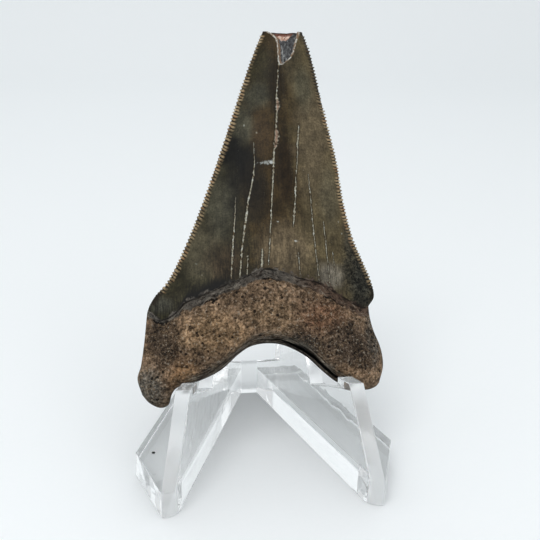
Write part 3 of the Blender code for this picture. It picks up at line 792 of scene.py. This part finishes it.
def enamelColour(tree, at, x, z, notes, wobble, stains):
    # brown to grey-brown across, stained, streaked along the crown, dusty, dark at the neck, rugged at the shoulder
    look, shades = enamelLook, enamelLook["shades"]
    noises = {name: noise(tree, at, *values) for name, values in look["noises"].items()}
    slide = plus(tree, x, times(tree, wobble, 9.0))
    colour = mix(tree, remap(tree, slide, -6.0, 1.0), linear(*look["left"]), linear(*look["middle"]))
    colour = mix(tree, remap(tree, slide, 4.0, 11.0), colour, linear(*look["right"]))
    colour = stain(tree, at, wobble, colour, look["stains"], stains)
    inMiddle = times(tree, remap(tree, notes["edge"], 1.5, 5.5, 0.30, 1.0), remap(tree, z, 70.0, 54.0, 0.45, 1.0))
    low = times(tree, remap(tree, notes["neck"], 16.0, 2.0), inMiddle)
    streaked = shade(tree, shade(tree, colour, noises["wide"], *shades["wide"]), noises["fine"], *shades["fine"])
    colour = mix(tree, inMiddle, colour, streaked)
    colour = mix(tree, low, colour, shade(tree, colour, noises["fine"], *shades["fineLow"]))
    atLeft = times(tree, remap(tree, x, -4.0, -8.0), remap(tree, notes["neck"], 7.0, 1.0))
    colour = mix(tree, atLeft, colour, shade(tree, colour, noises["lined"], *shades["lined"]))
    for name in ("patches", "mottle", "dust"):
        colour = shade(tree, colour, noises[name], *shades[name])
    nearNeck = plus(tree, notes["neck"], times(tree, wobble, 3.0))
    onLeft = times(tree, remap(tree, x, -19.5, -16.5), remap(tree, x, -5.0, -9.0))
    neckShade = times(tree, remap(tree, nearNeck, 3.8, 0.6), mathNode(tree, "MAXIMUM", onLeft, 0.30))
    colour = mix(tree, neckShade, colour, linear(*look["neckShade"]))
    shoulder = times(tree, remap(tree, x, 16.0, 19.5), remap(tree, z, 31.0, 24.0))
    colour = mix(tree, shoulder, colour, shade(tree, colour, noises["rough"], *shades["rough"]))
    return colour, noises["fine"], shoulder, noises["rough"]


def serrationColour(tree, colour, notes, at, x, z):
    # tan ribs whose crests are partly their own colour and partly a painted highlight, with painted shade in the
    # grooves between them, in a narrow band along both cutting edges; painted shadow darkens the upper right edge
    look = enamelLook
    patchy = noise(tree, at, 0.5, 3.0, 0.6)
    gritty = noise(tree, at, 1.7, 4.0, 0.7)
    onRight = remap(tree, x, 7.0, 11.0)
    darkEnd = times(tree, onRight, remap(tree, z, 52.0, 63.0))
    depth = minus(tree, remap(tree, patchy, 0.3, 0.7, 0.85, 1.60, smooth=False), times(tree, onRight, 0.12))
    depth = times(tree, depth, remap(tree, z, 60.0, 72.0, 1.0, 0.7))
    band = remap(tree, mathNode(tree, "DIVIDE", notes["edge"], depth), 0.45, 1.05, 1.0, 0.0)
    onRib = remap(tree, plus(tree, notes["rib"], swing(tree, gritty, 1.4)), 0.38, 0.62)
    # painted highlight: the rib crests get the pale tan tone, partly the ribs' own colour
    tanCrestAndHighlight = times(tree, band, onRib, remap(tree, patchy, 0.38, 0.54, 0.35, 1.0))
    tanCrestAndHighlight = times(tree, tanCrestAndHighlight, minus(tree, 0.92, times(tree, darkEnd, 0.75)))
    # painted shade in the creases between the ribs
    creaseShade = times(tree, band, minus(tree, 1.0, onRib))
    colour = mix(tree, times(tree, creaseShade, 0.85), colour, linear(*look["paintedGrooveShade"]))
    worn = times(tree, remap(tree, notes["edge"], 0.5, 0.1), remap(tree, gritty, 0.48, 0.60))
    tone = mix(tree, worn, linear(*look["tan"]), linear(*look["tanLight"]))
    tone = mix(tree, remap(tree, noise(tree, at, 0.9, 3.0, 0.7), 0.52, 0.62, 0.0, 0.8), tone, linear(*look["rust"]))
    darkEnd = times(tree, darkEnd, remap(tree, notes["edge"], 0.9, 0.2, 0.0, 0.85))
    colour = mix(tree, darkEnd, colour, linear(*look["shadow"]))
    return mix(tree, tanCrestAndHighlight, colour, tone)


def rootColour(tree, at, x, notes, wobble, stains):
    # porous bone: stains, fibres and specks of tan and dark, open pores, the torn band, the arch's grey rim; painted
    # shade under the enamel, along the lower rim and in the split
    look = rootLook
    colour = stain(tree, at, wobble, linear(*look["base"]), look["stains"], stains)
    swirl = addNode(tree, "ShaderNodeTexNoise", {"Vector": at, "Scale": 0.5, "Detail": 2.0}).outputs["Color"]
    bent = addNode(tree, "ShaderNodeVectorMath", {0: at, 1: swirl}, operation="MULTIPLY_ADD").outputs[0]
    noises = {name: noise(tree, at, *values) for name, values in look["noises"].items()}
    noises["fibre"] = noise(tree, bent, *look["fibre"])
    speck, grain = noises["speck"], noises["grain"]
    for name, values in look["shades"].items():
        colour = shade(tree, colour, noises[name], *values)
    for name, low, high, strength, tone in look["veils"]:
        colour = mix(tree, remap(tree, noises[name], low, high, 0.0, strength), colour, linear(*look[tone]))
    holes = addNode(tree, "ShaderNodeTexVoronoi", {"Vector": at, "Scale": 0.85, "Randomness": 1.0}).outputs
    size = times(tree, addNode(tree, "ShaderNodeSeparateColor", {0: holes["Color"]}).outputs[0], 0.35)
    pores = mathNode(tree, "LESS_THAN", plus(tree, holes["Distance"], times(tree, grain, 0.10)), size)
    colour = mix(tree, times(tree, pores, 0.85), colour, linear(*look["poreAndShadow"]))
    ragged = plus(tree, notes["neck"], swing(tree, noise(tree, at, 0.55, 5.0, 0.65), 3.0))
    reach = remap(tree, x, -20.5, -15.5, 0.7, 2.0)
    inBand = remap(tree, plus(tree, ragged, reach), -0.3, 0.3)
    band = mix(tree, remap(tree, x, 4.0, 12.0, 0.0, 0.8), linear(*look["band"]), linear(*look["bandBrown"]))
    layers = noise(tree, stretched(tree, x, 0.45, ragged, 2.2), 1.0, 4.0, 0.6)
    band = mix(tree, remap(tree, layers, 0.50, 0.38, 0.0, 0.95), band, linear(*look["bandDark"]))
    band = mix(tree, remap(tree, layers, 0.56, 0.68, 0.0, 0.65), band, linear(*look["pale"]))
    band = mix(tree, remap(tree, grain, 0.48, 0.36, 0.0, 0.6), band, linear(*look["bandDark"]))
    colour = mix(tree, times(tree, inBand, 0.92), colour, band)
    gap = mathNode(tree, "ABSOLUTE", plus(tree, ragged, reach, 0.1))
    line = times(tree, remap(tree, gap, 0.34, 0.08), remap(tree, noise(tree, at, 0.35, 3.0), 0.46, 0.54))
    colour = mix(tree, line, colour, linear(*look["poreAndShadow"]))
    # painted shadow under the enamel's edge, near black in patches
    patchy = remap(tree, noise(tree, at, 0.45, 3.0), 0.40, 0.56, 0.25, 0.85)
    shadowUnderEnamel = times(tree, remap(tree, notes["neck"], -0.50, -0.15), patchy)
    colour = mix(tree, shadowUnderEnamel, colour, linear(*look["poreAndShadow"]))
    inArch = remap(tree, mathNode(tree, "ABSOLUTE", x), 19.0, 14.0, 0.3, 1.0)
    rimFade = times(tree, remap(tree, notes["rim"], 3.2, 1.0), inArch)
    layered = noise(tree, stretched(tree, x, 0.28, notes["rim"], 3.0), 1.0, 4.0, 0.65)
    rimTone = mix(tree, remap(tree, layered, 0.46, 0.52), linear(*look["poreAndShadow"]), linear(*look["grey"]))
    rimTone = mix(tree, remap(tree, layered, 0.56, 0.66, 0.0, 0.8), rimTone, linear(*look["pale"]))
    rimTone = shade(tree, rimTone, grain, 0.36, 0.64, 0.5, 1.5)
    colour = mix(tree, times(tree, rimFade, 0.85), colour, rimTone)
    # painted shade along the root's lower rim, where the edge turns under
    colour = mix(tree, remap(tree, notes["rim"], 0.40, 0.10, 0.0, 0.55), colour, linear(*look["dark"]))
    # painted shade: the open split is coloured near black
    colour = mix(tree, remap(tree, notes["split"], 0.18, 0.45), colour, linear(*look["crevice"]))
    return colour, speck, grain, pores, layers


def tipColour(tree, colour, at, x, z, notes):
    # flake scar of grey glassy enamel with painted highlights on its ripples and its small ridge, a pale lip, and the
    # pink dentine core in the break
    look = tipLook
    rough = noise(tree, at, 1.6, 5.0, 0.7)
    inside = plus(tree, notes["flake"], swing(tree, rough, 0.25))
    scar = shade(tree, linear(*look["scar"]), rough, 0.38, 0.62, 0.45, 1.6)
    # painted highlights: pale flecks on the scar's ripples
    conchoidalHighlights = remap(tree, noise(tree, at, 1.5, 4.0, 0.7, (1.8, 1.0, 0.8)), 0.55, 0.62)
    scar = mix(tree, conchoidalHighlights, scar, linear(*look["scarHighlight"]))
    # painted highlight: a pale line along a small ridge of the scar
    ridgeHighlight = remap(tree, mathNode(tree, "ABSOLUTE", minus(tree, x, 5.9)), 0.14, 0.05)
    scar = mix(tree, times(tree, ridgeHighlight, remap(tree, z, 70.6, 69.8, 0.0, 0.7)), scar, linear(*look["scarHighlight"]))
    fromMiddle = times(tree, mathNode(tree, "POWER", mathNode(tree, "ABSOLUTE", minus(tree, x, 6.3)), 2.0), 0.40)
    coreHeight = plus(tree, minus(tree, z, 71.8, fromMiddle), swing(tree, rough, 1.2))
    pale = remap(tree, noise(tree, at, 2.6, 4.0, 0.7), 0.45, 0.6)
    core = mix(tree, pale, linear(*look["core"]), linear(*look["coreLight"]))
    redSpots = remap(tree, noise(tree, at, 2.2, 4.0, 0.7), 0.50, 0.36, 0.0, 0.8)
    redTop = remap(tree, plus(tree, z, times(tree, rough, 0.8)), 73.0, 73.5, 0.0, 0.9)
    for reddened in (redSpots, times(tree, notes["broken"], 0.7), redTop):
        core = mix(tree, reddened, core, linear(*look["coreRed"]))
    thick = times(tree, remap(tree, inside, 0.62, 0.40), remap(tree, x, 6.0, 5.2))
    scar = mix(tree, times(tree, thick, remap(tree, rough, 0.40, 0.52, 0.4, 1.0)), scar, linear(*look["lipBrown"]))
    scar = mix(tree, mathNode(tree, "MAXIMUM", remap(tree, coreHeight, -0.05, 0.12), notes["broken"]), scar, core)
    colour = mix(tree, remap(tree, inside, 0.02, 0.12), colour, scar)
    topLine = times(tree, remap(tree, notes["top"], 0.34, 0.14), minus(tree, 1.0, notes["broken"]))
    colour = mix(tree, times(tree, topLine, 0.85), colour, linear(*look["topEdge"]))
    thickness = remap(tree, z, 70.5, 73.4, 0.30, 0.62)
    outer = remap(tree, mathNode(tree, "DIVIDE", inside, thickness), -1.0, -0.5)
    lip = times(tree, outer, remap(tree, inside, 0.16, 0.06))
    browned = remap(tree, noise(tree, at, 1.1, 3.0), 0.40, 0.58)
    tone = mix(tree, browned, linear(*look["lipBrown"]), linear(*look["lip"]))
    lip = times(tree, lip, remap(tree, noise(tree, at, 1.9, 3.0), 0.34, 0.50, 0.45, 1.0))
    return mix(tree, times(tree, lip, notes["front"]), colour, tone)


def toothMaterial():
    # enamel, dark neck band and porous root, told apart by the mesh's own notes
    made, tree, shader = newMaterial("fossilToothSurface")
    at = toothCoordinates(tree)
    split = addNode(tree, "ShaderNodeSeparateXYZ", {0: at}).outputs
    x, z = split[0], split[2]
    notes = {short: readNote(tree, name) for short, name in
             (("crown", "crown"), ("neck", "neckMm"), ("edge", "edgeMm"), ("rib", "rib"), ("flake", "flakeMm"),
              ("broken", "broken"), ("rim", "rimMm"), ("split", "split"), ("front", "front"), ("top", "topMm"))}
    wobble = minus(tree, noise(tree, at, 0.22, 4.0, 0.6), 0.5)
    stains = patchGroup()

    enamel, fine, shoulder, rough = enamelColour(tree, at, x, z, notes, wobble, stains)
    cracks, beside, core = crackMasks(tree, at, x, z)
    cracks = times(tree, cracks, notes["front"])
    grime = noise(tree, at, 1.4, 4.0, 0.65)
    enamel = mix(tree, times(tree, beside, notes["front"], 0.6), enamel, linear(*crackLook["shadow"]))
    fill = mix(tree, remap(tree, grime, 0.50, 0.40), linear(*crackLook["fill"]), linear(*crackLook["fillBrown"]))
    fill = mix(tree, remap(tree, grime, 0.56, 0.64, 0.0, 0.9), fill, linear(*crackLook["fillWhite"]))
    fill = mix(tree, core, fill, shade(tree, linear(*crackLook["fillPink"]), grime, 0.38, 0.62, 0.4, 1.5))
    enamel = mix(tree, times(tree, cracks, remap(tree, grime, 0.36, 0.46, 0.45, 1.0)), enamel, fill)
    torn = swing(tree, noise(tree, at, 2.2, 3.0, 0.7), 3.2, 0.42)
    enamel = mix(tree, notes["front"], enamel, stain(tree, at, torn, enamel, enamelLook["specks"], stains))
    enamel = serrationColour(tree, enamel, notes, at, x, z)
    root, speck, grain, pores, layers = rootColour(tree, at, x, notes, wobble, stains)
    chip = times(tree, remap(tree, noise(tree, at, 0.8, 5.0, 0.7), 0.46, 0.62), 0.85)
    crown = times(tree, notes["crown"], remap(tree, minus(tree, notes["neck"], chip), -0.04, 0.06))
    colour = tipColour(tree, mix(tree, crown, root, enamel), at, x, z, notes)
    tree.links.new(colour, shader.inputs["Base Color"])

    look = surfaceLook
    damaged = mathNode(tree, "MAXIMUM", cracks, shoulder)
    gloss = plus(tree, look["enamelRoughness"], times(tree, fine, 0.16), times(tree, damaged, 0.25))
    matt = plus(tree, look["rootRoughness"], times(tree, grain, 0.25))
    tree.links.new(mixNumber(tree, notes["crown"], matt, gloss), shader.inputs["Roughness"])
    shader.inputs["Specular IOR Level"].default_value = look["specular"]

    bumpEnamel = minus(tree, times(tree, fine, look["fine"]), times(tree, cracks, look["cracks"]))
    bumpEnamel = plus(tree, bumpEnamel, times(tree, rough, shoulder, look["shoulder"]))
    bumpRoot = plus(tree, times(tree, speck, look["speck"]), times(tree, grain, look["grain"]))
    bumpRoot = plus(tree, bumpRoot, times(tree, layers, look["layers"]))
    bumpRoot = minus(tree, bumpRoot, times(tree, pores, look["pores"]))
    addBump(tree, shader, mixNumber(tree, notes["crown"], bumpRoot, bumpEnamel), look["relief"])
    return made


toothPiece = buildTooth()
toothPiece.data.materials.append(toothMaterial())
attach(toothPiece, "root")
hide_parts("tooth")
print("tooth built")


# the easel: the solid's own mesh, merged, with its edges softened, in clear acrylic

easel = {
    "edgeSoftening": 0.16 * mm,         # width of the small bevel on every moulded edge
    "edgeSteps": 2,
    "tint": (0.994, 1.0, 0.999, 1.0),
    "ior": 1.49,
    "wave": 0.09 * mm,                  # height of the moulding's faint waviness
    "waveScale": 130.0, "smearScale": 150.0,
    "polished": (0.01, 0.05),           # roughness of the moulded faces, from clean to smeared
    "cut": (0.38, 0.42),                # and of the front strips
    "crumbDark": (14, 13, 12), "crumbLight": (34, 30, 26),
    "crumb": ((-23.7, 14.8, 5.72), (0.38, 0.34, 0.16)),   # a dark crumb on the left foot: place and radii, mm
}


def acrylicMaterial():
    # clear and polished, with faint smears and a slightly wavy face
    made, tree, shader = newMaterial("clearAcrylic")
    at = addNode(tree, "ShaderNodeTexCoord").outputs["Object"]
    smear = noise(tree, at, easel["smearScale"], 4.0, 0.65, (1.0, 1.0, 0.5))
    polished, cut = (remap(tree, smear, 0.35, 0.65, *easel[name]) for name in ("polished", "cut"))
    tree.links.new(mixNumber(tree, readNote(tree, "ground"), polished, cut), shader.inputs["Roughness"])
    shader.inputs["Base Color"].default_value = easel["tint"]
    shader.inputs["Transmission Weight"].default_value = 1.0
    shader.inputs["IOR"].default_value = easel["ior"]
    addBump(tree, shader, noise(tree, at, easel["waveScale"], 2.0, 0.5), easel["wave"])
    return made


def buildEasel():
    # a copy of the CAD mesh whose loose triangles are merged; flat faces stay flat, edges get a small bevel
    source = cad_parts["stand"]
    shape = bmesh.new()
    shape.from_mesh(source.data)
    bmesh.ops.remove_doubles(shape, verts=shape.verts, dist=1e-6)
    bmesh.ops.dissolve_limit(shape, angle_limit=math.radians(0.5), verts=shape.verts, edges=shape.edges)
    mesh = bpy.data.meshes.new("acrylicEasel")
    shape.to_mesh(mesh)
    shape.free()
    normals = np.zeros(len(mesh.polygons) * 3)
    mesh.polygons.foreach_get("normal", normals)
    note = mesh.attributes.new("ground", "FLOAT", "FACE")
    note.data.foreach_set("value", (normals[1::3] < -0.5).astype(np.float32))
    thing = bpy.data.objects.new("acrylicEasel", mesh)
    bpy.context.scene.collection.objects.link(thing)
    thing.data.materials.append(acrylicMaterial())
    soften = thing.modifiers.new("softEdges", "BEVEL")
    soften.width, soften.segments = easel["edgeSoftening"], easel["edgeSteps"]
    soften.limit_method, soften.angle_limit = "ANGLE", math.radians(14)
    return thing


def buildCrumb():
    # a squashed ball, r = 1 + noise, lying on the foot's flange
    place, radii = easel["crumb"]
    u, v = np.meshgrid(np.linspace(0, 2 * math.pi, 25)[:-1], np.linspace(0, math.pi, 13)[1:-1])
    ring = np.stack([np.cos(u) * np.sin(v), np.sin(u) * np.sin(v), np.cos(v)], -1).reshape(-1, 3)
    ball = np.vstack([ring, [[0, 0, 1], [0, 0, -1]]])
    ball *= 1 + 0.22 * fractal(ball[:, :1] * 2 + 5, ball[:, 1:2] * 2 + ball[:, 2:3], 91)
    index = np.arange(len(ring)).reshape(11, 24)
    after = np.roll(index, -1, axis=1)
    a, b, c, d = index[:-1].ravel(), after[:-1].ravel(), after[1:].ravel(), index[1:].ravel()
    top, low = np.full(24, len(ring)), np.full(24, len(ring) + 1)
    faces = np.vstack([np.stack([a, c, b], -1), np.stack([a, d, c], -1),
                       np.stack([top, index[0], after[0]], -1), np.stack([low, after[-1], index[-1]], -1)])
    stand = np.array([place[0], place[1] - tooth["footprintDepth"] / 2, place[2] + radii[2] * 0.8])
    thing = meshFrom("sedimentCrumb", (ball * np.array(radii) + stand) * mm, faces)
    made, tree, shader = newMaterial("darkSediment")
    at = addNode(tree, "ShaderNodeTexCoord").outputs["Object"]
    tone = mix(tree, noise(tree, at, 4000.0, 3.0), linear(*easel["crumbDark"]), linear(*easel["crumbLight"]))
    tree.links.new(tone, shader.inputs["Base Color"])
    shader.inputs["Roughness"].default_value = 0.8
    thing.data.materials.append(made)
    return thing


easelPiece = buildEasel()
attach(easelPiece, "root")
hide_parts("stand")
crumbPiece = buildCrumb()
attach(crumbPiece, "root")
print("easel built")


# stage: pale seamless floor, soft light, camera at the photograph's place

stageLook = {
    "floor": linear(249, 251, 252), "floorDark": linear(246, 249, 250), "world": linear(237, 240, 242),
    "worldStrength": 0.84,
    "airGap": 0.15 * mm,                 # thin air gap that keeps the easel's foot off the paper
    # the paper, in metres: half its width, its front end, where it bends up, the bend's radius, its upper end
    "halfWidth": 1.6, "frontEnd": -1.2, "bendStart": 0.55, "bendRadius": 0.35, "upperEnd": 1.6,
    "lightBounces": 48,                  # light has to turn many times inside the clear easel
    "diffuseBounces": 8,
    # lamps: place, aim and size in metres, power in watts
    "lamps": {
        "keyAbove": ((-0.25, -0.42, 0.62), (0, 0, 0.03), 0.4, 1.75),
        "fillFront": ((0.35, -0.65, 0.45), (0, 0, 0.05), 0.5, 0.7),
        "glowBehind": ((0.0, 0.5, 0.42), (0, 0, 0.0), 0.5, 0.12),
    },
}

camera = {
    "focalPixels": 900.0, "imagePixels": 540.0, "pitch": math.radians(20.0), "turn": math.radians(7.5),
    "roll": math.radians(-1.2), "place": (-21.69, -177.35, 106.49),   # in millimetres
}


def buildStage():
    # floor and back wall in one sheet: a profile that bends up through a quarter circle
    look = stageLook
    bend, start, radius = np.linspace(0, math.pi / 2, 24), look["bendStart"], look["bendRadius"]
    depth = np.concatenate([[look["frontEnd"]], start + radius * np.sin(bend), [start + radius]])
    height = np.concatenate([[0.0], radius - radius * np.cos(bend), [look["upperEnd"]]]) - look["airGap"]
    side = np.linspace(-look["halfWidth"], look["halfWidth"], 9)
    points = np.stack([np.repeat(side[None], len(depth), 0).ravel(), np.repeat(depth, 9), np.repeat(height, 9)], -1)
    floor = meshFrom("paleSweep", points, gridFaces(np.arange(len(points)).reshape(len(depth), 9)))
    made, tree, shader = newMaterial("palePaper")
    at = addNode(tree, "ShaderNodeTexCoord").outputs["Object"]
    grain = noise(tree, at, 900.0, 2.0)
    tree.links.new(mix(tree, grain, look["floorDark"], look["floor"]), shader.inputs["Base Color"])
    shader.inputs["Roughness"].default_value = 0.75
    floor.data.materials.append(made)


def addLamp(name, place, aim, size, power):
    # a round white lamp that looks from its place to its aim
    lamp = bpy.data.lights.new(name, "AREA")
    lamp.shape, lamp.size, lamp.energy = "DISK", size, power
    thing = bpy.data.objects.new(name, lamp)
    thing.location = place
    thing.rotation_euler = (Vector(aim) - Vector(place)).to_track_quat("-Z", "Y").to_euler()
    bpy.context.scene.collection.objects.link(thing)


def buildLight():
    # pale light from all around, and the lamps
    world = bpy.data.worlds.new("studio")
    bpy.context.scene.world = world
    world.use_nodes = True
    sky = world.node_tree.nodes["Background"]
    sky.inputs["Color"].default_value = stageLook["world"]
    sky.inputs["Strength"].default_value = stageLook["worldStrength"]
    for name, values in stageLook["lamps"].items():
        addLamp(name, *values)


def buildCamera():
    # the photograph's view: yaw, pitch and roll of a camera held a short way in front, above and to the left
    turn, pitch, roll = camera["turn"], camera["pitch"], camera["roll"]
    forward = Vector((math.sin(turn) * math.cos(pitch), math.cos(turn) * math.cos(pitch), -math.sin(pitch)))
    right = Vector((math.cos(turn), -math.sin(turn), 0.0))
    up = right.cross(forward)
    tiltedRight = right * math.cos(roll) - up * math.sin(roll)
    tiltedUp = right * math.sin(roll) + up * math.cos(roll)
    lens = bpy.data.cameras.new("photoCamera")
    lens.sensor_width = 36.0
    lens.lens = 36.0 * camera["focalPixels"] / camera["imagePixels"]
    lens.clip_start = 0.01
    thing = bpy.data.objects.new("photoCamera", lens)
    place = Vector(camera["place"]) * mm
    axes = (tiltedRight, tiltedUp, -forward)
    thing.matrix_world = Matrix([[axes[k][row] for k in range(3)] + [place[row]] for row in range(3)] + [[0, 0, 0, 1]])
    bpy.context.scene.collection.objects.link(thing)
    bpy.context.scene.camera = thing


buildStage()
buildLight()
buildCamera()
bpy.context.scene.view_settings.view_transform = "Standard"
paths = bpy.context.scene.cycles
paths.max_bounces = paths.transmission_bounces = paths.glossy_bounces = stageLook["lightBounces"]
paths.diffuse_bounces = stageLook["diffuseBounces"]
paths.caustics_refractive = paths.caustics_reflective = True
print("stage built")
